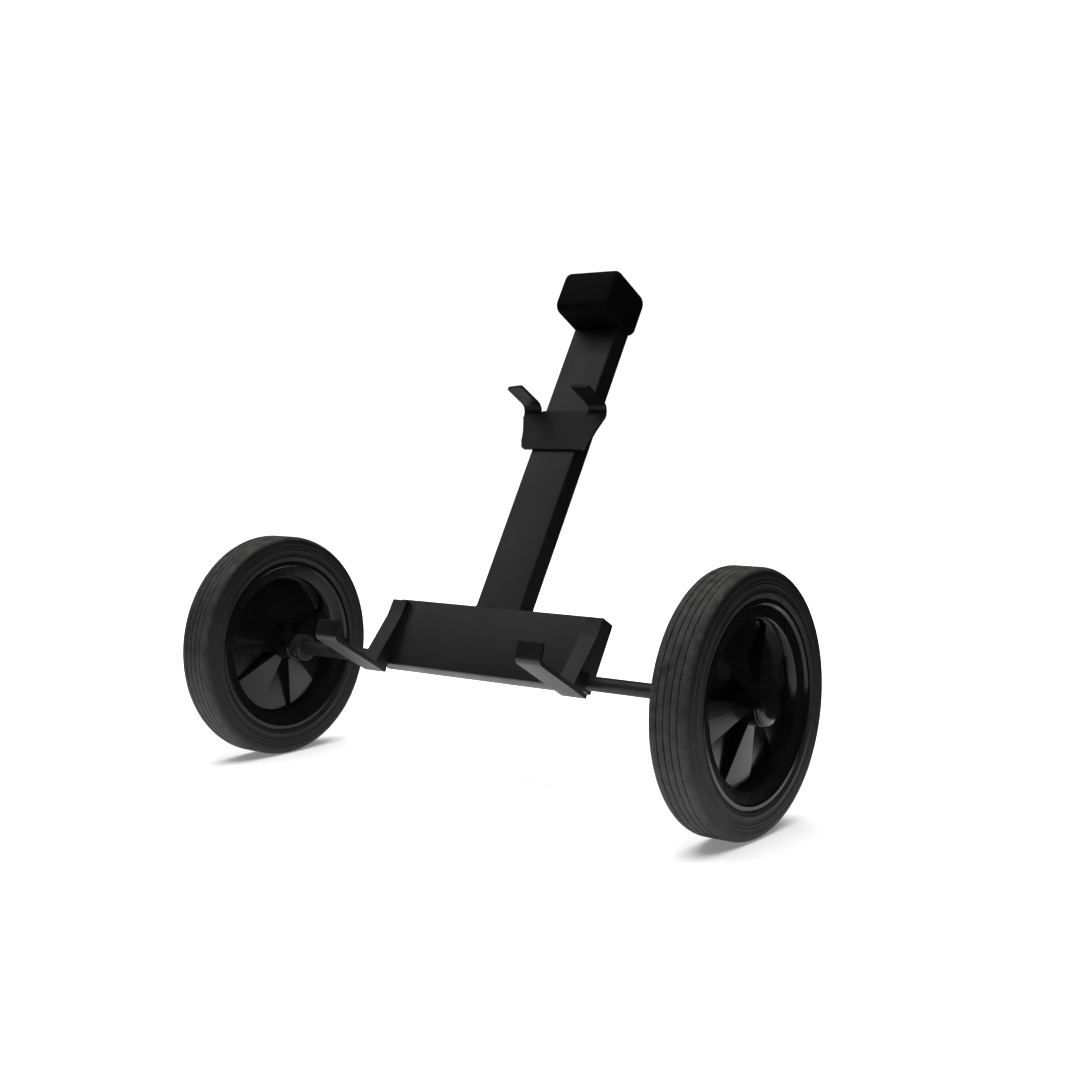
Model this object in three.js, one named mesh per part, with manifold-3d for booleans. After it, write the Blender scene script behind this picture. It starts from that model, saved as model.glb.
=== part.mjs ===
// Two-wheeled transport trolley for a tennis ball machine.
// Millimetres, +Z up, wheels on the floor at z = 0, column leaning towards +Y.
import * as THREE from 'three';
import Module from 'manifold-3d';

const wasm = await Module();
wasm.setup();

// ---- driving dimensions ----
const GAP = 0.3;                 // working gap between neighbouring pieces

const LEAN = 30.7 * Math.PI / 180; // lean of the column from vertical
const WHEEL_D = 250;             // tyre outside diameter
const WHEEL_W = 43;              // tyre width
const TRACK = 613.8;             // tyre centre to tyre centre
const SHOULDER_R = 8;            // tyre shoulder radius
const BEAD_R = 90.2;             // tyre bore radius
const FLANGE_R = 96.5;           // rim flange outer radius
const DISH_R = 78;               // inner edge of the rim dish
const WHEEL_SEG = 56;
const SPOKES = 5;
const SPOKE_HALF = 0.31;         // half angle of a spoke
const SPOKE_HUB = 14, SPOKE_RIM = 5; // spoke face above the wheel's mid-plane at the hub and at the rim

const AXLE_D = 15;
const AXLE_BORE_R = 7.8;         // running bore on the axle
const AXLE_END = 23.5;           // axle end, outboard of the wheel centre

const TUBE_DEPTH = 20;           // crossbar depth
const TUBE_WALL = 2;             // column wall
const BAR_WALL = 1.5;            // crossbar wall
const AXLE_N = -9.3;             // axle depth behind the front face
const COLUMN_W = 60;
const COLUMN_DEPTH = 22;
const COLUMN_TOP = 461;          // along the column, from the reference point
const BAR_H = 76.2;              // crossbar height
const BAR_BOTTOM = -3.8;
const BAR_HALF = 131.5;          // half length of the crossbar tube
const PLATE_T = 3;               // crossbar end plates
const TUBE_R = 1.8;              // outside corner radius of the tubes

const TOE_W = 29.5;
const TOE_T = 4.5;
const TOE_BACK = 2;              // rear end of a toe bar
const TOE_TOP = -10.4;           // upper face of a toe bar at its rear end
const TOE_OUT = 147.5;           // outer side of a toe bar
const BRACE_IN = 120.5, BRACE_SIDE = 140.5; // sides of a brace
const TOE_REACH = 90;            // front of a toe bar
const TOE_DROP = 0.6 * Math.PI / 180;
const LIP_LEAN = 15 * Math.PI / 180; // the lip leans forward of square
const LIP = 15;                  // length of the upturned lip

const BRACE_T = 2.5;             // pressed sheet
const BRACE_OUT = 7.2;           // how far the flat part stands off the crossbar
const BRACE_WEB = 2;

const SADDLE_BOTTOM = 261.6;
const SADDLE_MID = 309.4;        // top edge between the horns
const SADDLE_T = 3;
const HORN_IN = 32.9, HORN_OUT = 55.2;
const HORN_ROOT = 303;           // height where a horn starts to bend forward
const HORN_BEND = 10;            // inside radius of that bend

const PAD_HALF = 35.5;
const PAD_FRONT = 41;
const PAD_BACK = -26;
const PAD_LOW = 419.6;
const PAD_HIGH = 471.2;
const PAD_R = 8;

const AXLE_Z = WHEEL_D / 2;
const REF_Y = AXLE_N / Math.cos(LEAN);                 // reference point on the front face, level with the axle
const AXLE_S = -REF_Y * Math.sin(LEAN);                // axle height in the leaning frame
const WHEEL_X = TRACK / 2;

// ---- geometry helpers ----
// merges vertices by position, drops slivers and turns the surface outward
function clean(geometry) {
  const src = geometry.index ? geometry.toNonIndexed() : geometry;
  const p = src.attributes.position;
  const map = new Map(), verts = [], ids = [];
  for (let i = 0; i < p.count; i++) {
    const key = [p.getX(i), p.getY(i), p.getZ(i)].map(v => Math.round(v * 1e4)).join(',');
    if (!map.has(key)) { map.set(key, verts.length / 3); verts.push(p.getX(i), p.getY(i), p.getZ(i)); }
    ids.push(map.get(key));
  }
  const tris = [];
  let volume = 0;
  for (let i = 0; i < ids.length; i += 3) {
    const [a, b, c] = [ids[i], ids[i + 1], ids[i + 2]];
    if (a === b || b === c || a === c) continue;
    tris.push(a, b, c);
    const [ax, ay, az] = verts.slice(3 * a, 3 * a + 3), [bx, by, bz] = verts.slice(3 * b, 3 * b + 3), [cx, cy, cz] = verts.slice(3 * c, 3 * c + 3);
    volume += ax * (by * cz - bz * cy) + ay * (bz * cx - bx * cz) + az * (bx * cy - by * cx);
  }
  if (volume < 0) for (let i = 0; i < tris.length; i += 3) { const t = tris[i]; tris[i] = tris[i + 1]; tris[i + 1] = t; }
  const out = new THREE.BufferGeometry();
  out.setAttribute('position', new THREE.Float32BufferAttribute(verts, 3));
  out.setIndex(tris);
  return out;
}
function solid(geometry) {
  const g = clean(geometry);
  return new wasm.Manifold(new wasm.Mesh({
    numProp: 3,
    vertProperties: new Float32Array(g.attributes.position.array),
    triVerts: new Uint32Array(g.index.array),
  }));
}
function surface(manifold) {
  const m = manifold.getMesh();
  const pos = [];
  for (let i = 0; i < m.vertProperties.length / m.numProp; i++) {
    pos.push(m.vertProperties[i * m.numProp], m.vertProperties[i * m.numProp + 1], m.vertProperties[i * m.numProp + 2]);
  }
  const g = new THREE.BufferGeometry();
  g.setAttribute('position', new THREE.Float32BufferAttribute(pos, 3));
  g.setIndex(Array.from(m.triVerts));
  return g;
}
const union = (...list) => list.slice(1).reduce((a, b) => a.add(b), list[0]);

// turned piece about X from (x, r) pairs
function turned(points, segments = 32) {
  const g = new THREE.LatheGeometry(points.map(([x, r]) => new THREE.Vector2(Math.max(r, 0), x)), segments);
  g.rotateZ(-Math.PI / 2);
  return clean(g);
}
const ring = (x0, x1, r0, r1, segments = 32) => turned([[x0, r0], [x0, r1], [x1, r1], [x1, r0], [x0, r0]], segments);

// outline counter-clockwise, holes clockwise
function outlined(points, holes = []) {
  const turn = (list, ccw) => {
    const v = list.map(([a, b]) => new THREE.Vector2(a, b));
    return (THREE.ShapeUtils.area(v) > 0) === ccw ? v : v.reverse();
  };
  const s = new THREE.Shape(turn(points, true));
  for (const hole of holes) s.holes.push(new THREE.Path(turn(hole, false)));
  return s;
}
// polygon in the (depth, height) plane, extruded along X from x0 to x1
function alongX(points, x0, x1, holes = []) {
  const s = outlined(points.map(([n, h]) => [-n, h]), holes.map(hole => hole.map(([n, h]) => [-n, h])));
  const g = new THREE.ExtrudeGeometry(s, { depth: x1 - x0, bevelEnabled: false, steps: 1 });
  g.applyMatrix4(new THREE.Matrix4().makeBasis(new THREE.Vector3(0, 1, 0), new THREE.Vector3(0, 0, 1), new THREE.Vector3(1, 0, 0)));
  g.translate(x0, 0, 0);
  return clean(g);
}
// polygon in the (x, depth) plane, extruded up the column from h0 to h1
function alongColumn(points, h0, h1, holes = []) {
  const s = outlined(points.map(([x, n]) => [x, -n]), holes.map(hole => hole.map(([x, n]) => [x, -n])));
  const g = new THREE.ExtrudeGeometry(s, { depth: h1 - h0, bevelEnabled: false, steps: 1 });
  g.translate(0, 0, h0);
  return clean(g);
}
function roundedRect(a0, a1, b0, b1, r, steps = 4) {
  const out = [];
  for (const [ca, cb, q] of [[a1 - r, b1 - r, 0], [a0 + r, b1 - r, 1], [a0 + r, b0 + r, 2], [a1 - r, b0 + r, 3]]) {
    for (let i = 0; i <= steps; i++) {
      const t = (q + i / steps) * Math.PI / 2;
      out.push([ca + r * Math.cos(t), cb + r * Math.sin(t)]);
    }
  }
  return out;
}
const circle = (a, b, r, steps = 32) => Array.from({ length: steps }, (_, i) => [a + r * Math.cos(2 * Math.PI * i / steps), b + r * Math.sin(2 * Math.PI * i / steps)]);

// skin through equal-length closed sections, capped at both ends
function loft(sections) {
  const n = sections[0].length, pos = [], idx = [];
  for (const sec of sections) for (const p of sec) pos.push(...p);
  for (let k = 0; k + 1 < sections.length; k++) {
    for (let i = 0; i < n; i++) {
      const a = k * n + i, b = k * n + (i + 1) % n, c = a + n, d = b + n;
      idx.push(a, b, d, a, d, c);
    }
  }
  const last = (sections.length - 1) * n;
  for (let i = 1; i + 1 < n; i++) { idx.push(0, i + 1, i); idx.push(last, last + i, last + i + 1); }
  const g = new THREE.BufferGeometry();
  g.setAttribute('position', new THREE.Float32BufferAttribute(pos, 3));
  g.setIndex(idx);
  return clean(g);
}

// ---- materials ----
const paint = () => new THREE.MeshStandardMaterial({ color: 0x1c1c1d, roughness: 0.45, metalness: 0.2 });
const rubber = () => new THREE.MeshStandardMaterial({ color: 0x161616, roughness: 0.9, metalness: 0.0 });
const plastic = () => new THREE.MeshStandardMaterial({ color: 0x101011, roughness: 0.3, metalness: 0.0 });
const steel = () => new THREE.MeshStandardMaterial({ color: 0x2a2a2b, roughness: 0.4, metalness: 0.8 });
const zinc = () => new THREE.MeshStandardMaterial({ color: 0x5a5c5e, roughness: 0.4, metalness: 0.85 });
const bronze = () => new THREE.MeshStandardMaterial({ color: 0x6b4a2a, roughness: 0.5, metalness: 0.7 });

const group = new THREE.Group();
group.name = 'ball_machine_trolley';
function add(name, geometry, material) {
  const g = clean(geometry);
  g.computeVertexNormals();
  const mesh = new THREE.Mesh(g, material);
  mesh.name = name;
  group.add(mesh);
  return mesh;
}
// pieces drawn in the leaning frame (x, depth, height)
function addLeaning(name, geometry, material) {
  const g = clean(geometry);
  g.rotateX(-LEAN);
  g.translate(0, REF_Y, AXLE_Z);
  return add(name, g, material);
}

// ---- leaning frame: depth n is 0 on the front face, negative behind; height s runs up the column ----
const FRONT = 0, BACK = -TUBE_DEPTH;
const BAR_TOP = BAR_BOTTOM + BAR_H;

addLeaning('column_tube', alongColumn(
  roundedRect(-COLUMN_W / 2, COLUMN_W / 2, -COLUMN_DEPTH, FRONT, TUBE_R), BAR_TOP + GAP, COLUMN_TOP,
  [roundedRect(-COLUMN_W / 2 + TUBE_WALL, COLUMN_W / 2 - TUBE_WALL, -COLUMN_DEPTH + TUBE_WALL, FRONT - TUBE_WALL, 0.6, 2)]), paint());

addLeaning('crossbar_tube', alongX(
  roundedRect(BACK, FRONT, BAR_BOTTOM, BAR_TOP, TUBE_R), -BAR_HALF, BAR_HALF,
  [roundedRect(BACK + BAR_WALL, FRONT - BAR_WALL, BAR_BOTTOM + BAR_WALL, BAR_TOP - BAR_WALL, 0.4, 1)]), paint());

for (const [side, k] of [['left', -1], ['right', 1]]) {
  const span = (a, b) => k > 0 ? [a, b] : [-b, -a];

  // bored end plate
  const [p0, p1] = span(BAR_HALF + GAP, BAR_HALF + GAP + PLATE_T);
  addLeaning(`crossbar_end_plate_${side}`, alongX(roundedRect(BACK, FRONT, BAR_BOTTOM, BAR_TOP, TUBE_R), p0, p1,
    [circle(AXLE_N, AXLE_S, AXLE_BORE_R + 0.05)]), paint());

  // toe bar: flat bar under the brace with an upturned lip
  const [t0, t1] = span(TOE_OUT - TOE_W, TOE_OUT);
  const top = TOE_TOP, low = top - TOE_T;
  const ln = Math.sin(LIP_LEAN), ls = Math.cos(LIP_LEAN);   // lip direction in (n, s)
  const bar = [[TOE_BACK + 0.5, low], [TOE_BACK, low + 0.5], [TOE_BACK, top - 0.5], [TOE_BACK + 0.5, top]];
  const R = 2.5, sweep = Math.PI / 2 - LIP_LEAN;            // bend
  const inside = [], outside = [];
  for (let i = 0; i <= 6; i++) {
    const a = -Math.PI / 2 + sweep * i / 6, c = [TOE_REACH - TOE_T - R, top + R];
    inside.push([c[0] + R * Math.cos(a), c[1] + R * Math.sin(a)]);
    outside.unshift([c[0] + (R + TOE_T) * Math.cos(a), c[1] + (R + TOE_T) * Math.sin(a)]);
  }
  const tipIn = [inside[6][0] + ln * LIP, inside[6][1] + ls * LIP];
  const tipOut = [outside[0][0] + ln * LIP, outside[0][1] + ls * LIP];
  // the bar drops slightly towards its lip
  const tilt = ([n, h]) => [TOE_BACK + (n - TOE_BACK) * Math.cos(TOE_DROP) + (h - top) * Math.sin(TOE_DROP), top + (h - top) * Math.cos(TOE_DROP) - (n - TOE_BACK) * Math.sin(TOE_DROP)];
  addLeaning(`toe_bar_${side}`, alongX([...bar, ...inside, tipIn, tipOut, ...outside].map(tilt), t0, t1), paint());

  // brace: pressed channel, flat on the crossbar face then running out to the toe bar
  const B = BRACE_OUT, foot = n => top + GAP - Math.max(0, n - TOE_BACK) * Math.tan(TOE_DROP);
  const [b0, b1] = span(BRACE_IN, BRACE_SIDE);
  const outline = [[GAP, 68.4], [GAP + B - 1, 68.4], [GAP + B, 67.4], [GAP + B, 50], [GAP + B + 0.4, 47.5], [B + 12.2, -8], [B + 12.6, foot(B + 12.6)], [GAP, foot(GAP)]];
  const hollow = [[GAP - 1, 65.4], [GAP + B - BRACE_T, 65.4], [GAP + B - BRACE_T, 48], [B + 12.4 - BRACE_T, -9], [B + 12.6 - BRACE_T, foot(B) - 2], [GAP - 1, foot(B) - 2]];
  addLeaning(`toe_brace_${side}`, surface(solid(alongX(outline, b0, b1)).subtract(solid(alongX(hollow, b0 + BRACE_WEB, b1 - BRACE_WEB)))), paint());
}

// saddle: flat plate on the column front, its two upper corners bent forward into flat horns
{
  const right = [];
  for (let i = 0; i <= 4; i++) { const a = -Math.PI / 2 + i * Math.PI / 8; right.push([38.4 + 6 * Math.cos(a), SADDLE_BOTTOM + 6 + 6 * Math.sin(a)]); }
  right.push([46.2, 271], [47.4, 278], [49.2, 285], [51.6, 291.6], [53.8, 297.5], [54.9, 301.5], [HORN_OUT, HORN_ROOT + 0.5]);
  right.push([HORN_IN, HORN_ROOT + 0.5], [HORN_IN, HORN_ROOT - 1], [HORN_IN - 1.4, HORN_ROOT - 1], [HORN_IN - 1.4, SADDLE_MID - 1], [HORN_IN - 2.4, SADDLE_MID]);
  const outline = outlined([...right, ...right.slice().reverse().map(([x, h]) => [-x, h])]);
  const g = new THREE.ExtrudeGeometry(outline, { depth: SADDLE_T, bevelEnabled: false, steps: 1 });
  // shape Y -> height, extrusion -> front (-y)
  g.applyMatrix4(new THREE.Matrix4().makeBasis(new THREE.Vector3(1, 0, 0), new THREE.Vector3(0, 0, 1), new THREE.Vector3(0, -1, 0)));
  g.translate(0, -GAP, 0);
  let body = solid(g);

  const cn = GAP + SADDLE_T + HORN_BEND;               // centre of the bend
  const inner = [], outer = [];
  for (let i = 0; i <= 8; i++) {
    const a = Math.PI - i * Math.PI / 16;
    inner.push([cn + HORN_BEND * Math.cos(a), HORN_ROOT + HORN_BEND * Math.sin(a)]);
    outer.unshift([cn + (HORN_BEND + SADDLE_T) * Math.cos(a), HORN_ROOT + (HORN_BEND + SADDLE_T) * Math.sin(a)]);
  }
  const horn = [[GAP, 300], [GAP + SADDLE_T, 300], ...inner, [60, HORN_ROOT + HORN_BEND], [60, HORN_ROOT + HORN_BEND + SADDLE_T], ...outer];
  // seen from above: a slightly slanted front edge with rounded corners
  const plan = [[HORN_IN, -1], [HORN_OUT, -1], [HORN_OUT, 41.6], [54.8, 43.2], [53.7, 44.2], [52, 44.6], [36, 47.1], [34.6, 47], [33.4, 46.2], [HORN_IN, 44.8]];
  for (const k of [-1, 1]) {
    const strip = solid(alongX(horn, k > 0 ? 30 : -60, k > 0 ? 60 : -30));
    body = body.add(strip.intersect(solid(alongColumn(plan.map(([x, n]) => [k * x, n]), 290, 330))));
  }
  addLeaning('saddle_bracket', surface(body), paint());
}

// bumper pad pushed over the column end
{
  const b = 6;
  const s = new THREE.Shape(roundedRect(-PAD_FRONT + b, -PAD_BACK - b, PAD_LOW + b, PAD_HIGH - b, PAD_R - 3, 4).map(([y, h]) => new THREE.Vector2(y, h)));
  const g = new THREE.ExtrudeGeometry(s, { depth: 2 * (PAD_HALF - b), bevelEnabled: true, bevelThickness: b, bevelSize: b, bevelSegments: 4, steps: 1 });
  g.applyMatrix4(new THREE.Matrix4().makeBasis(new THREE.Vector3(0, 1, 0), new THREE.Vector3(0, 0, 1), new THREE.Vector3(1, 0, 0)));
  g.translate(-(PAD_HALF - b), 0, 0);
  const pocket = alongColumn(roundedRect(-COLUMN_W / 2 - GAP, COLUMN_W / 2 + GAP, -COLUMN_DEPTH - GAP, FRONT + GAP, TUBE_R), PAD_LOW - 5, COLUMN_TOP + GAP);
  addLeaning('top_pad', surface(solid(g).subtract(solid(pocket))), rubber());
}

// ---- axle ----
{
  const e = WHEEL_X + AXLE_END, r = AXLE_D / 2;
  const g = turned([[-e, 0], [-e, r - 1], [-e + 1, r], [e - 1, r], [e, r - 1], [e, 0]], 40);
  g.translate(0, 0, AXLE_Z);
  add('axle_rod', g, steel());
}

// ---- wheels: drawn with +X outboard, then placed on each side ----
function tyreGeometry() {
  const h = WHEEL_W / 2, R = WHEEL_D / 2, sr = SHOULDER_R;
  const half = [[0, R]];
  for (const c of [3.6, 10.6]) half.push([c - 1, R], [c, R - 1.5], [c + 1, R]);
  for (let i = 0; i <= 4; i++) { const a = Math.PI / 2 - i * Math.PI / 8; half.push([h - sr + sr * Math.cos(a), R - sr + sr * Math.sin(a)]); }
  half.push([h - 0.3, 106], [h - 1, FLANGE_R + 1.6], [h - 1.6, FLANGE_R + GAP], [16.5, FLANGE_R + GAP], [16.5, BEAD_R]);
  const other = half.slice(1).map(([x, r]) => [-x, r]).reverse();
  const loop = [...other, ...half];
  return turned([...loop, loop[0]], WHEEL_SEG);
}
function rimGeometry() {
  const o = BEAD_R - GAP;
  // barrel with a flange on each side
  const half = [[16.8, o], [16.8, FLANGE_R - 0.6], [17.4, FLANGE_R], [19.8, FLANGE_R], [20.4, FLANGE_R - 0.8], [20.2, 92.5], [17.5, 90.5], [15.2, DISH_R + 1.6], [13.4, DISH_R], [4, DISH_R - 2.5]];
  const other = half.slice().map(([x, r]) => [-x, r]).reverse();
  const barrel = turned([...half, ...other, half[0]], WHEEL_SEG);
  // closed web
  const webG = turned([[-1.6, 0], [-1.6, 79], [1.6, 79], [1.6, 0]], WHEEL_SEG);
  // hub, bored for the bushings, counterbored for the retainer
  const hub = turned([[-31.8, 10.3], [-31.8, 14], [-31, 14.8], [-14, 15.4], [-4, 20], [4, 21.5], [12, 19.8], [25.3, 19.5], [26.1, 18.7], [26.1, 13.5], [15.4, 13.5], [15.4, 10.3], [-31.8, 10.3]], 32);
  let rim = union(solid(barrel), solid(webG), solid(hub));
  // fan-shaped spokes standing off the web on both faces
  const cone = solid(turned([[-SPOKE_HUB, 0], [-SPOKE_HUB, 18], [-SPOKE_RIM, 77], [SPOKE_RIM, 77], [SPOKE_HUB, 18], [SPOKE_HUB, 0], [-SPOKE_HUB, 0]], WHEEL_SEG));
  for (let i = 0; i < SPOKES; i++) {
    const half = SPOKE_HALF, pts = [];
    for (let j = 0; j <= 4; j++) { const a = -half + 2 * half * j / 4; pts.push([79.2 * Math.cos(a), 79.2 * Math.sin(a)]); }
    pts.push([15 * Math.cos(half), 15 * Math.sin(half)], [15 * Math.cos(half), -15 * Math.sin(half)]);
    const e = new THREE.ExtrudeGeometry(outlined(pts), { depth: 40, bevelEnabled: false });
    e.applyMatrix4(new THREE.Matrix4().makeBasis(new THREE.Vector3(0, 1, 0), new THREE.Vector3(0, 0, 1), new THREE.Vector3(1, 0, 0)));
    e.translate(-20, 0, 0);
    e.rotateX(i * 2 * Math.PI / SPOKES);
    rim = rim.add(solid(e).intersect(cone));
  }
  // clear the bores again
  rim = rim.subtract(solid(turned([[-40, 0], [-40, 10.3], [15.4, 10.3], [15.4, 13.5], [40, 13.5], [40, 0]], 32)));
  return surface(rim);
}
const SPOKE_PHASE = { left: -26 * Math.PI / 180, right: 43 * Math.PI / 180 };
const tyreG = tyreGeometry(), rimG = rimGeometry();

for (const [side, k] of [['left', -1], ['right', 1]]) {
  const place = (name, geometry, material) => {
    const g = geometry.clone();
    if (k < 0) g.rotateZ(Math.PI);
    if (name.endsWith('_rim')) g.rotateX(SPOKE_PHASE[side]);
    g.translate(k * WHEEL_X, 0, AXLE_Z);
    return add(name, g, material);
  };
  place(`${side}_tyre`, tyreG, rubber());
  place(`${side}_rim`, rimG, plastic());
  place(`${side}_bushing_inner`, ring(-31.8, -17, AXLE_BORE_R, 10), bronze());
  place(`${side}_bushing_outer`, ring(1, 15.4, AXLE_BORE_R, 10), bronze());
  // on the axle, outboard: washer and push-on retainer under the cap
  place(`${side}_washer_outer`, ring(15.4 + GAP, 17.2, AXLE_BORE_R, 13), zinc());
  place(`${side}_push_nut`, turned([[17.5, AXLE_BORE_R], [17.5, 11.8], [18.3, 11.8], [21.4, 9.6], [21.8, AXLE_BORE_R], [17.5, AXLE_BORE_R]]), zinc());
  place(`${side}_hub_cap`, turned([[23.8, 11.2], [23.8, 13.1], [26.4, 13.1], [26.4, 19.2], [28.2, 19.4], [30.2, 18], [31.3, 14.5], [31.6, 9], [31.6, 0], [29.2, 0], [29.2, 11.2], [23.8, 11.2]]), plastic());
  // on the axle, inboard: washer and clamped collar with a grub screw
  place(`${side}_washer_inner`, ring(-34.1, -32.1, AXLE_BORE_R, 12.5), zinc());
  const collar = solid(turned([[-48.4, AXLE_BORE_R], [-48.4, 13.9], [-47.6, 14.7], [-35.2, 14.7], [-34.4, 13.9], [-34.4, AXLE_BORE_R], [-48.4, AXLE_BORE_R]]));
  const hole = turned([[5, 0], [5, 2.8], [20, 2.8], [20, 0]], 16);
  hole.rotateZ(Math.PI / 2); hole.rotateX(-0.6); hole.translate(-41.4, 0, 0);
  place(`${side}_collar`, surface(collar.subtract(solid(hole))), steel());
  const grub = turned([[AXLE_BORE_R, 0], [AXLE_BORE_R, 1.8], [8.6, 2.5], [13.2, 2.5], [13.2, 1.4], [11, 1.4], [11, 0]], 16);
  grub.rotateZ(Math.PI / 2); grub.rotateX(-0.6); grub.translate(-41.4, 0, 0);
  place(`${side}_collar_screw`, grub, zinc());
}

// ---- row frame: centred over the footprint, resting at z = 0 ----
{
  const box = new THREE.Box3();
  for (const m of group.children) { m.geometry.computeBoundingBox(); box.union(m.geometry.boundingBox); }
  const c = box.getCenter(new THREE.Vector3());
  for (const m of group.children) m.geometry.translate(-c.x, -c.y, -box.min.z);
}

export default group;
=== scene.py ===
import math

import bmesh
import bpy
from mathutils import Matrix, Vector


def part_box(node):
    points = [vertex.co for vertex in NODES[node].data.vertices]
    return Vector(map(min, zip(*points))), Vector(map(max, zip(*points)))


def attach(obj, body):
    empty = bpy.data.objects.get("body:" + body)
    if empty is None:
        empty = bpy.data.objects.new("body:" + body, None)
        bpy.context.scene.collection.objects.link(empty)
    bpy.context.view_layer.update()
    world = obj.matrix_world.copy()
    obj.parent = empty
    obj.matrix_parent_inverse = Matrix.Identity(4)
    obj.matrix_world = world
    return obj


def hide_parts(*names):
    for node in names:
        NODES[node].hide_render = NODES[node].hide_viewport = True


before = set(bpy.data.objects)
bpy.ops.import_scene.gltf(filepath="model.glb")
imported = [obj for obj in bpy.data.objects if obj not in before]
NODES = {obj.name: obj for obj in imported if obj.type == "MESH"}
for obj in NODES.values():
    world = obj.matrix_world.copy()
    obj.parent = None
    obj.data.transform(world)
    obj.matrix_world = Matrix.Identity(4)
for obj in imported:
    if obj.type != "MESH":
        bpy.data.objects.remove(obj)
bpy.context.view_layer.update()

MM = 0.001

# ---------------------------------------------------------------- places
lo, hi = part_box("axle_rod")
AXLE_Y = (lo.y + hi.y) / 2
AXLE_Z = (lo.z + hi.z) / 2
lo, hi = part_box("right_tyre")
WHEEL_X = (lo.x + hi.x) / 2
TYRE_R = (hi.z - lo.z) / 2
TYRE_W = hi.x - lo.x

LEAN = math.radians(30.7)
REF = Vector((0, AXLE_Y - 9.3 * MM / math.cos(LEAN), AXLE_Z))
UP = Vector((0, math.sin(LEAN), math.cos(LEAN)))
OUT = Vector((0, -math.cos(LEAN), math.sin(LEAN)))


def lean(x, n, s):
    """A point of the leaning frame, from millimetres: across, out of the front face, up the column."""
    return REF + Vector((x * MM, 0, 0)) + OUT * (n * MM) + UP * (s * MM)


# ---------------------------------------------------------------- camera
cam_data = bpy.data.cameras.new("camera")
cam_data.sensor_width = 36.0
cam_data.lens = 36.0 * 1536.4 / 1080.0
cam_data.clip_start, cam_data.clip_end = 0.05, 60.0
cam = bpy.data.objects.new("camera", cam_data)
bpy.context.scene.collection.objects.link(cam)
az, el, roll = math.radians(37.590), math.radians(4.428), math.radians(-0.083)
back = Vector((math.sin(az) * math.cos(el), -math.cos(az) * math.cos(el), math.sin(el)))
right = Vector((math.cos(az), math.sin(az), 0))
up = back.cross(right)
r2 = right * math.cos(roll) + up * math.sin(roll)
u2 = up * math.cos(roll) - right * math.sin(roll)
m = Matrix((r2, u2, back)).transposed().to_4x4()
m.translation = Vector((1.00883, -1.21167 + AXLE_Y, 0.38163))
cam.matrix_world = m
bpy.context.scene.camera = cam
bpy.context.scene.view_settings.view_transform = "Standard"
bpy.context.scene.view_settings.look = "None"
bpy.context.scene.view_settings.exposure = 0.0


# ---------------------------------------------------------------- node helper
class Nodes:
    def __init__(self, tree):
        self.tree = tree
        tree.nodes.clear()

    def new(self, kind, **values):
        n = self.tree.nodes.new(kind)
        for k, v in values.items():
            setattr(n, k, v)
        return n

    def link(self, a, b):
        self.tree.links.new(a, b)

    def put(self, value, socket):
        if isinstance(value, bpy.types.NodeSocket):
            self.link(value, socket)
        else:
            socket.default_value = value

    def math(self, op, a, b=None, c=None, clamp=False):
        n = self.new("ShaderNodeMath", operation=op, use_clamp=clamp)
        for i, v in enumerate((a, b, c)):
            if v is not None:
                self.put(v, n.inputs[i])
        return n.outputs[0]

    def noise(self, vector, scale, detail=2.0, rough=0.5, distortion=0.0):
        n = self.new("ShaderNodeTexNoise")
        self.link(vector, n.inputs["Vector"])
        n.inputs["Scale"].default_value = scale
        n.inputs["Detail"].default_value = detail
        n.inputs["Roughness"].default_value = rough
        n.inputs["Distortion"].default_value = distortion
        return n.outputs[0]

    def stretch(self, vector, scale):
        n = self.new("ShaderNodeMapping")
        self.link(vector, n.inputs["Vector"])
        n.inputs["Scale"].default_value = scale
        return n.outputs[0]

    def ramp(self, value, *stops):
        """Linear ramp from value to value: stops are (position, level)."""
        n = self.new("ShaderNodeMapRange")
        self.link(value, n.inputs["Value"])
        (a, x), (b, y) = stops
        n.inputs["From Min"].default_value = a
        n.inputs["From Max"].default_value = b
        n.inputs["To Min"].default_value = x
        n.inputs["To Max"].default_value = y
        return n.outputs["Result"]

    def mix(self, factor, a, b):
        n = self.new("ShaderNodeMix", data_type="RGBA")
        self.put(factor, n.inputs["Factor"])
        self.put(a, [s for s in n.inputs if s.name == "A" and s.type == "RGBA"][0])
        self.put(b, [s for s in n.inputs if s.name == "B" and s.type == "RGBA"][0])
        return [s for s in n.outputs if s.type == "RGBA"][0]

    def bump(self, height, strength, distance, normal=None):
        n = self.new("ShaderNodeBump")
        n.inputs["Strength"].default_value = strength
        n.inputs["Distance"].default_value = distance
        self.link(height, n.inputs["Height"])
        if normal is not None:
            self.link(normal, n.inputs["Normal"])
        return n.outputs[0]


def rgb(v, tint=(1, 1, 1)):
    return (v * tint[0], v * tint[1], v * tint[2], 1.0)


def material(name):
    mat = bpy.data.materials.new(name)
    mat.use_nodes = True
    g = Nodes(mat.node_tree)
    out = g.new("ShaderNodeOutputMaterial")
    bsdf = g.new("ShaderNodeBsdfPrincipled")
    g.link(bsdf.outputs[0], out.inputs["Surface"])
    pos = g.new("ShaderNodeTexCoord").outputs["Object"]
    return mat, g, bsdf, pos


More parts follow.
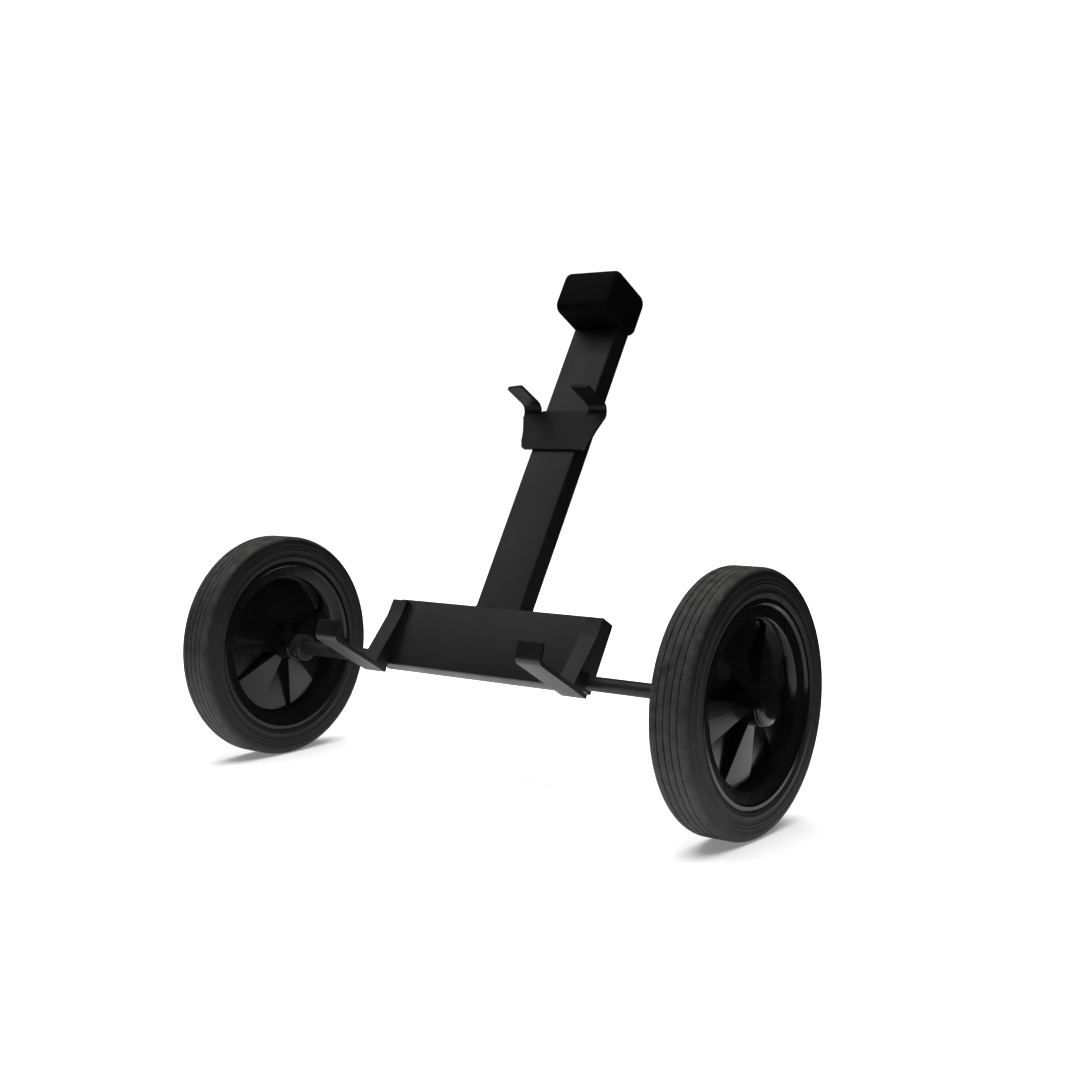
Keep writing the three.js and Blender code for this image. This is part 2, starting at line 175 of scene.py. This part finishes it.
def edge_mask(g, pos, radius, lo_, hi_):
    """1 on outside and inside corners, 0 on flats, broken up by noise."""
    bev = g.new("ShaderNodeBevel")
    bev.samples = 4
    bev.inputs["Radius"].default_value = radius
    geo = g.new("ShaderNodeNewGeometry")
    dot = g.new("ShaderNodeVectorMath", operation="DOT_PRODUCT")
    g.link(bev.outputs[0], dot.inputs[0])
    g.link(geo.outputs["Normal"], dot.inputs[1])
    bend = g.math("SUBTRACT", 1.0, dot.outputs["Value"], clamp=True)
    edge = g.ramp(bend, (lo_, 0.0), (hi_, 1.0))
    return g.math("MULTIPLY", edge, g.ramp(g.noise(pos, 160, 3, 0.6), (0.42, 0.0), (0.66, 1.0)), clamp=True)


def dust_mask(g, pos, amount):
    geo = g.new("ShaderNodeNewGeometry")
    sep = g.new("ShaderNodeSeparateXYZ")
    g.link(geo.outputs["Normal"], sep.inputs[0])
    top = g.ramp(sep.outputs["Z"], (0.35, 0.0), (1.0, 1.0))
    return g.math("MULTIPLY", g.math("MULTIPLY", top, amount), g.ramp(g.noise(pos, 38, 4, 0.65), (0.35, 0.25), (0.7, 1.0)), clamp=True)


# ---------------------------------------------------------------- materials
def paint_material(name="black_powder_coat", gloss=0.42):
    mat, g, b, pos = material(name)
    b.inputs["Specular IOR Level"].default_value = gloss
    cloud = g.noise(pos, 14, 4, 0.6)
    base = g.mix(g.ramp(cloud, (0.3, 0.0), (0.7, 1.0)), rgb(0.0042), rgb(0.0066, (1, 1, 1.04)))
    wear = edge_mask(g, pos, 0.0011, 0.03, 0.25)
    base = g.mix(g.math("MULTIPLY", wear, 0.55), base, rgb(0.075, (1, 0.98, 0.95)))
    base = g.mix(dust_mask(g, pos, 0.05), base, rgb(0.12, (1, 0.97, 0.93)))
    g.link(base, b.inputs["Base Color"])
    smear = g.noise(g.stretch(pos, (1.0, 0.25, 0.25)), 45, 5, 0.6)
    rough = g.math("ADD", g.ramp(smear, (0.3, 0.36), (0.7, 0.47)), g.math("MULTIPLY", wear, 0.12))
    g.link(rough, b.inputs["Roughness"])
    b.inputs["Metallic"].default_value = 0.0
    b.inputs["IOR"].default_value = 1.5
    peel = g.noise(pos, 720, 2, 0.5)
    fine = g.noise(pos, 2600, 1, 0.5)
    n1 = g.bump(peel, 0.22, 0.00012)
    n2 = g.bump(fine, 0.12, 0.00004, n1)
    g.link(n2, b.inputs["Normal"])
    return mat


def tyre_material(side):
    mat, g, b, pos = material("solid_tyre_rubber_" + side)
    k = 1.0 if side == "right" else -1.0
    sep = g.new("ShaderNodeSeparateXYZ")
    g.link(pos, sep.inputs[0])
    x = g.math("SUBTRACT", sep.outputs["X"], k * WHEEL_X)
    y = g.math("SUBTRACT", sep.outputs["Y"], AXLE_Y)
    z = g.math("SUBTRACT", sep.outputs["Z"], AXLE_Z)
    r = g.math("SQRT", g.math("ADD", g.math("MULTIPLY", y, y), g.math("MULTIPLY", z, z)))
    angle = g.math("ARCTAN2", z, y)
    around = g.math("MULTIPLY", angle, TYRE_R)
    tread = g.ramp(r, (TYRE_R - 0.0045, 0.0), (TYRE_R - 0.0015, 1.0))
    # angled sipes on the ribs, the slant alternating from rib to rib
    rib = g.math("FLOOR", g.math("DIVIDE", g.math("ADD", x, 0.0246), 0.007))
    flip = g.math("SUBTRACT", g.math("MULTIPLY", g.math("MODULO", rib, 2.0), 2.0), 1.0)
    slant = g.math("ADD", around, g.math("MULTIPLY", g.math("MULTIPLY", x, flip), 1.1))
    saw = g.math("FRACT", g.math("DIVIDE", g.math("ADD", slant, 10.0), 2 * math.pi * TYRE_R / 132))
    sipe = g.math("ABSOLUTE", g.math("SUBTRACT", saw, 0.5))
    cut = g.ramp(sipe, (0.06, 0.0), (0.15, 1.0))
    cut = g.math("MULTIPLY", g.math("SUBTRACT", cut, 1.0), tread)
    cloud = g.noise(pos, 30, 5, 0.6)
    base = g.mix(g.ramp(cloud, (0.3, 0.0), (0.7, 1.0)), rgb(0.0045), rgb(0.0085, (1, 0.99, 0.97)))
    worn = g.math("MULTIPLY", tread, g.ramp(g.noise(pos, 95, 4, 0.65), (0.34, 0.25), (0.68, 1.0)))
    base = g.mix(g.math("MULTIPLY", worn, 0.75), base, rgb(0.052, (1, 0.99, 0.97)))
    # painted shade: inside the sipe cuts on the tread the colour is pulled towards 0.012, darker than the worn tread
    # around them
    base = g.mix(g.math("MULTIPLY", g.math("MULTIPLY", cut, -1.0), 0.22), base, rgb(0.012))
    base = g.mix(dust_mask(g, pos, 0.06), base, rgb(0.16, (1, 0.97, 0.92)))
    g.link(base, b.inputs["Base Color"])
    g.link(g.math("ADD", g.ramp(cloud, (0.3, 0.52), (0.7, 0.66)), g.math("MULTIPLY", worn, 0.12)), b.inputs["Roughness"])
    b.inputs["Specular IOR Level"].default_value = 0.34
    grain = g.noise(pos, 1500, 3, 0.6)
    # faint radial moulding lines on the sidewall
    lines = g.math("MULTIPLY", g.math("SINE", g.math("MULTIPLY", angle, 240.0)), g.math("SUBTRACT", 1.0, tread))
    n = g.bump(grain, 0.3, 0.00012)
    n = g.bump(lines, 0.10, 0.00010, n)
    n = g.bump(cut, 0.35, 0.0003, n)
    g.link(n, b.inputs["Normal"])
    return mat


def rim_material():
    mat, g, b, pos = material("gloss_moulded_plastic")
    cloud = g.noise(pos, 22, 4, 0.6)
    base = g.mix(g.ramp(cloud, (0.3, 0.0), (0.7, 1.0)), rgb(0.0022), rgb(0.0042, (1, 1, 1.05)))
    wear = edge_mask(g, pos, 0.0009, 0.03, 0.3)
    base = g.mix(g.math("MULTIPLY", wear, 0.4), base, rgb(0.035))
    base = g.mix(dust_mask(g, pos, 0.02), base, rgb(0.10, (1, 0.97, 0.93)))
    g.link(base, b.inputs["Base Color"])
    scuff = g.noise(g.stretch(pos, (1, 1, 0.3)), 130, 5, 0.7)
    g.link(g.ramp(scuff, (0.35, 0.15), (0.75, 0.22)), b.inputs["Roughness"])
    b.inputs["IOR"].default_value = 1.53
    b.inputs["Specular IOR Level"].default_value = 0.28
    wavy = g.noise(pos, 55, 2, 0.5)
    n = g.bump(wavy, 0.12, 0.0004)
    g.link(n, b.inputs["Normal"])
    return mat


def pad_material():
    mat, g, b, pos = material("moulded_rubber_pad")
    cloud = g.noise(pos, 26, 5, 0.62)
    base = g.mix(g.ramp(cloud, (0.3, 0.0), (0.7, 1.0)), rgb(0.0018), rgb(0.0032, (1, 0.99, 0.98)))
    scuff = g.noise(g.stretch(pos, (1.0, 3.0, 3.0)), 60, 5, 0.7)
    base = g.mix(g.ramp(scuff, (0.62, 0.0), (0.8, 0.35)), base, rgb(0.012))
    base = g.mix(dust_mask(g, pos, 0.015), base, rgb(0.08, (1, 0.97, 0.93)))
    g.link(base, b.inputs["Base Color"])
    g.link(g.ramp(cloud, (0.3, 0.58), (0.7, 0.74)), b.inputs["Roughness"])
    b.inputs["IOR"].default_value = 1.45
    b.inputs["Specular IOR Level"].default_value = 0.04
    vor = g.new("ShaderNodeTexVoronoi")
    g.link(pos, vor.inputs["Vector"])
    vor.inputs["Scale"].default_value = 620
    pebble = g.ramp(vor.outputs["Distance"], (0.0, 1.0), (0.6, 0.0))
    n = g.bump(pebble, 0.35, 0.00022)
    n = g.bump(g.noise(pos, 1900, 2, 0.5), 0.2, 0.00008, n)
    g.link(n, b.inputs["Normal"])
    return mat


def turned_metal(name, low, high, tint, rough, metallic, lines=0.25, rust=0.0, gloss=0.5):
    """Turned or drawn metal: fine lines round X, uneven tone."""
    mat, g, b, pos = material(name)
    cloud = g.noise(pos, 40, 4, 0.6)
    base = g.mix(g.ramp(cloud, (0.3, 0.0), (0.7, 1.0)), rgb(low, tint), rgb(high, tint))
    if rust:
        spots = g.ramp(g.noise(pos, 170, 5, 0.7), (0.66, 0.0), (0.74, rust))
        base = g.mix(spots, base, (0.09, 0.045, 0.02, 1))
    g.link(base, b.inputs["Base Color"])
    b.inputs["Metallic"].default_value = metallic
    b.inputs["Specular IOR Level"].default_value = gloss
    streak = g.noise(g.stretch(pos, (60.0, 1.0, 1.0)), 40, 4, 0.7)
    g.link(g.ramp(streak, (0.3, rough - 0.08), (0.7, rough + 0.10)), b.inputs["Roughness"])
    n = g.bump(streak, lines, 0.00010)
    g.link(n, b.inputs["Normal"])
    return mat


PAINT = paint_material()
SADDLE_PAINT = paint_material("black_powder_coat_saddle", 0.18)
RIM = rim_material()
PAD = pad_material()
BLACK_STEEL = turned_metal("black_oxide_steel", 0.010, 0.018, (1, 1, 1.03), 0.36, 0.0, 0.22, 0.2, 0.26)
ZINC = turned_metal("dull_zinc", 0.30, 0.42, (1, 1.01, 1.04), 0.38, 1.0)
BRONZE = turned_metal("sintered_bronze", 0.26, 0.36, (1.0, 0.68, 0.38), 0.5, 1.0, 0.3)
TYRE = {s: tyre_material(s) for s in ("left", "right")}


# ---------------------------------------------------------------- CAD nodes kept
def dress(name, mat, width=0.4, angle=34, segments=3):
    o = NODES[name]
    me = o.data
    me.materials.clear()
    me.materials.append(mat)
    if "custom_normal" in me.attributes:
        me.attributes.remove(me.attributes["custom_normal"])
    for p in me.polygons:
        p.use_smooth = True
        p.material_index = 0
    weld = o.modifiers.new("weld", "WELD")
    weld.merge_threshold = 2e-6
    if width:
        bev = o.modifiers.new("edge", "BEVEL")
        bev.width = width * MM
        bev.segments = segments
        bev.limit_method = "ANGLE"
        bev.angle_limit = math.radians(angle)
        bev.harden_normals = True
        bev.miter_outer = "MITER_ARC"
        bev.use_clamp_overlap = True
    return o


for name in ("column_tube", "crossbar_tube", "crossbar_end_plate_left", "crossbar_end_plate_right"):
    dress(name, PAINT, 0.35)
for name in ("toe_bar_left", "toe_bar_right", "toe_brace_left", "toe_brace_right"):
    dress(name, PAINT, 0.5)
dress("saddle_bracket", SADDLE_PAINT, 0.9, 38, 4)
dress("axle_rod", BLACK_STEEL, 0.2)
dress("top_pad", PAD, 0.0)
for s in ("left", "right"):
    dress(f"{s}_rim", RIM, 0.6, 30, 3)
    dress(f"{s}_hub_cap", RIM, 0.3)
    dress(f"{s}_collar", BLACK_STEEL, 0.2)
    dress(f"{s}_collar_screw", ZINC, 0.15)
    for k in ("washer_inner", "washer_outer", "push_nut"):
        dress(f"{s}_{k}", ZINC, 0.2)
    for k in ("bushing_inner", "bushing_outer"):
        dress(f"{s}_{k}", BRONZE, 0.2)


# ---------------------------------------------------------------- mesh helpers
def make(name, bm, mat, body, sharp=35):
    bmesh.ops.recalc_face_normals(bm, faces=bm.faces[:])
    me = bpy.data.meshes.new(name)
    bm.to_mesh(me)
    bm.free()
    for p in me.polygons:
        p.use_smooth = True
    me.set_sharp_from_angle(angle=math.radians(sharp))
    me.materials.append(mat)
    o = bpy.data.objects.new(name, me)
    bpy.context.scene.collection.objects.link(o)
    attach(o, body)
    return o


def turned(bm, points, segments, centre, flip=1.0):
    """Closed profile of (x, r) in metres, turned round the X axis through centre."""
    rings = []
    for j in range(segments):
        a = 2 * math.pi * j / segments
        rings.append([bm.verts.new((centre.x + flip * x, centre.y + r * math.cos(a), centre.z + r * math.sin(a))) for x, r in points])
    n = len(points)
    for j in range(segments):
        p, q = rings[j], rings[(j + 1) % segments]
        for i in range(n):
            k = (i + 1) % n
            bm.faces.new((p[i], q[i], q[k], p[k]))


# ---------------------------------------------------------------- tyres
def tyre_profile():
    h, R = TYRE_W / 2 / MM, TYRE_R / MM
    pts = [(0.0, R)]

    def groove(c, w, d):
        pts.extend([(c - w, R), (c - w * 0.62, R - 0.12), (c - w * 0.40, R - d * 0.8), (c - w * 0.2, R - d), (c + w * 0.2, R - d), (c + w * 0.40, R - d * 0.8), (c + w * 0.62, R - 0.12), (c + w, R)])

    groove(3.5, 0.95, 1.5)
    pts.append((7.0, R))
    groove(10.5, 0.95, 1.5)
    pts.append((12.2, R))
    sr = 8.0
    for i in range(13):
        a = math.radians(90 - i * 7.5)
        pts.append((h - sr + sr * math.cos(a), R - sr + sr * math.sin(a)))
    # sidewall with three low moulded rings
    def ring(r, height, width):
        pts.extend([(h - 0.45, r + width), (h - 0.45 + height * 0.8, r + width * 0.55), (h - 0.45 + height, r), (h - 0.45 + height * 0.8, r - width * 0.55), (h - 0.45, r - width)])
    pts.append((h - 0.2, 115.5))
    pts.append((h - 0.45, 114.6))
    ring(112.6, 0.35, 0.9)
    ring(109.6, 0.35, 0.9)
    pts.append((h - 0.45, 104.5))
    ring(101.6, 0.4, 1.1)
    pts.append((h - 0.9, 98.8))
    pts.append((h - 1.5, 97.4))
    pts.append((h - 1.9, 96.9))
    pts.append((16.6, 96.85))
    pts.append((16.55, 90.3))
    right_half = pts[1:]
    left_half = [(-x, r) for x, r in reversed(right_half)]
    return [(x * MM, r * MM) for x, r in [*left_half, pts[0], *right_half]]


for side, k in (("left", -1.0), ("right", 1.0)):
    bm = bmesh.new()
    turned(bm, tyre_profile(), 224, Vector((k * WHEEL_X, AXLE_Y, AXLE_Z)), k)
    tyre = make(f"{side}_tyre_detailed", bm, TYRE[side], f"{side}_wheel", 50)
    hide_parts(f"{side}_tyre")


# ---------------------------------------------------------------- weld beads
def bead(name, path, radius, squash_axis=None, squash=1.0, pitch=2.4):
    """A rippled weld bead along a polyline of points in metres."""
    pts = []
    for a, b in zip(path, path[1:]):
        d = b - a
        count = max(2, int(d.length / (0.30 * pitch * MM)))
        for i in range(count):
            pts.append((a + d * (i / count), d.normalized()))
    pts.append((path[-1], (path[-1] - path[-2]).normalized()))
    bm = bmesh.new()
    prev = None
    travelled = 0.0
    rings = []
    for i, (p, d) in enumerate(pts):
        if i:
            travelled += (p - pts[i - 1][0]).length
        phase = (travelled / (pitch * MM)) % 1.0
        r = radius * MM * (0.86 + 0.20 * (1 - phase) ** 1.5)
        end = min(travelled, sum((b - a).length for a, b in zip(path, path[1:])) - travelled)
        r *= min(1.0, 0.45 + end / (1.5 * MM) * 0.55)
        side_v = d.cross(Vector((0.31, 0.52, 0.79))).normalized()
        other = d.cross(side_v)
        ring = []
        for j in range(10):
            a = 2 * math.pi * j / 10
            off = (side_v * math.cos(a) + other * math.sin(a)) * r
            if squash_axis is not None:
                off -= squash_axis * off.dot(squash_axis) * (1 - squash)
            ring.append(bm.verts.new(p + off))
        rings.append(ring)
    for a, b in zip(rings, rings[1:]):
        for j in range(10):
            bm.faces.new((a[j], a[(j + 1) % 10], b[(j + 1) % 10], b[j]))
    bm.faces.new(rings[0])
    bm.faces.new(rings[-1])
    return make(name, bm, PAINT, "frame", 60)


BAR_TOP, BAR_LOW, BAR_END = 72.4, -3.8, 131.5
bead("weld_column_left", [lean(-30.3, -19.2, BAR_TOP + 0.5), lean(-30.3, -1.2, BAR_TOP + 0.5)], 1.5)
bead("weld_column_right", [lean(30.3, -1.2, BAR_TOP + 0.5), lean(30.3, -19.2, BAR_TOP + 0.5)], 1.5)
bead("weld_column_back", [lean(-28.5, -20.3, BAR_TOP - 0.3), lean(28.5, -20.3, BAR_TOP - 0.3)], 1.6)
bead("weld_column_front", [lean(-29, -0.62, BAR_TOP + 0.15), lean(29, -0.62, BAR_TOP + 0.15)], 0.85, OUT, 0.9, 3.0)
for side, k in (("left", -1), ("right", 1)):
    e = k * (BAR_END + 0.15)
    bead(f"weld_end_{side}", [lean(e, -0.7, BAR_LOW + 2), lean(e, -0.7, BAR_TOP - 2), lean(e, -2, BAR_TOP - 0.7), lean(e, -18, BAR_TOP - 0.7), lean(e, -19.3, BAR_TOP - 2), lean(e, -19.3, BAR_LOW + 2), lean(e, -18, BAR_LOW + 0.7), lean(e, -2, BAR_LOW + 0.7), lean(e, -0.7, BAR_LOW + 2)], 0.85, None, 1.0, 3.2)
    bead(f"weld_brace_top_{side}", [lean(k * 122.0, 0.6, 68.9), lean(k * 130.8, 0.6, 68.9)], 1.0)
    bead(f"weld_brace_inner_{side}", [lean(k * 120.3, 0.5, 64), lean(k * 120.3, 0.5, 6)], 1.1)
    bead(f"weld_toe_inner_{side}", [lean(k * 120.2, 3.0, -10.0), lean(k * 120.2, 18.5, -10.0)], 1.1)
    bead(f"weld_toe_outer_{side}", [lean(k * 140.8, 3.0, -10.0), lean(k * 140.8, 18.5, -10.0)], 1.1)
    bead(f"weld_saddle_{side}", [lean(k * 30.7, -0.4, 266), lean(k * 30.7, -0.4, 300)], 1.0)


# ---------------------------------------------------------------- stage and light
def stage_plane(name, size, z, centre, value, emission=0.0):
    bm = bmesh.new()
    bmesh.ops.create_grid(bm, x_segments=1, y_segments=1, size=0.5, matrix=Matrix.Diagonal((size[0], size[1], 1, 1)))
    me = bpy.data.meshes.new(name)
    bm.to_mesh(me)
    bm.free()
    o = bpy.data.objects.new(name, me)
    o.location = (centre[0], centre[1], z)
    bpy.context.scene.collection.objects.link(o)
    mat, g, b, pos = material(name + "_finish")
    g.link(g.mix(g.noise(pos, 1.2, 3, 0.5), rgb(value * 0.985), rgb(value)), b.inputs["Base Color"])
    b.inputs["Roughness"].default_value = 0.9
    b.inputs["Specular IOR Level"].default_value = 0.1
    b.inputs["Emission Color"].default_value = (1, 1, 1, 1)
    b.inputs["Emission Strength"].default_value = emission
    me.materials.append(mat)
    return o


# pale sweep near the object, seen by every ray, and a wide pale floor beyond it
stage_plane("floor_near", (1.5, 1.05), -0.0002, (0.0, -0.26), 0.86, 0.22)
wide = stage_plane("floor_wide", (40, 40), -0.0012, (0, 0), 0.86, 1.1)
wide.visible_diffuse = False
wide.visible_glossy = False

world = bpy.data.worlds.new("studio")
world.use_nodes = True
bpy.context.scene.world = world
g = Nodes(world.node_tree)
out = g.new("ShaderNodeOutputWorld")
bg = g.new("ShaderNodeBackground")
white = g.new("ShaderNodeBackground")
bg.inputs["Color"].default_value = (1, 1, 1, 1)
bg.inputs["Strength"].default_value = 0.015
white.inputs["Color"].default_value = (1, 1, 1, 1)
white.inputs["Strength"].default_value = 1.15
path = g.new("ShaderNodeLightPath")
mixer = g.new("ShaderNodeMixShader")
g.link(path.outputs["Is Camera Ray"], mixer.inputs[0])
g.link(bg.outputs[0], mixer.inputs[1])
g.link(white.outputs[0], mixer.inputs[2])
g.link(mixer.outputs[0], out.inputs["Surface"])


def area(name, place, target, size, energy, size_y=None):
    d = bpy.data.lights.new(name, "AREA")
    d.shape = "RECTANGLE"
    d.size = size
    d.size_y = size_y or size
    d.energy = energy
    o = bpy.data.objects.new(name, d)
    bpy.context.scene.collection.objects.link(o)
    o.location = place
    o.rotation_mode = "QUATERNION"
    o.rotation_quaternion = (Vector(target) - Vector(place)).to_track_quat("-Z", "Y")
    return o


TARGET = (0, 0, 0.25)
area("key_softbox", (-1.6, -0.75, 2.0), TARGET, 1.6, 5.9, 1.6)
top = area("top_softbox", (0, -0.1, 2.4), (0, -0.1, 0), 3.4, 150, 3.4)
top.visible_glossy = False
area("small_spot", (-1.25, -0.4, 2.45), (0.2, 0, 0.1), 0.34, 2.2)
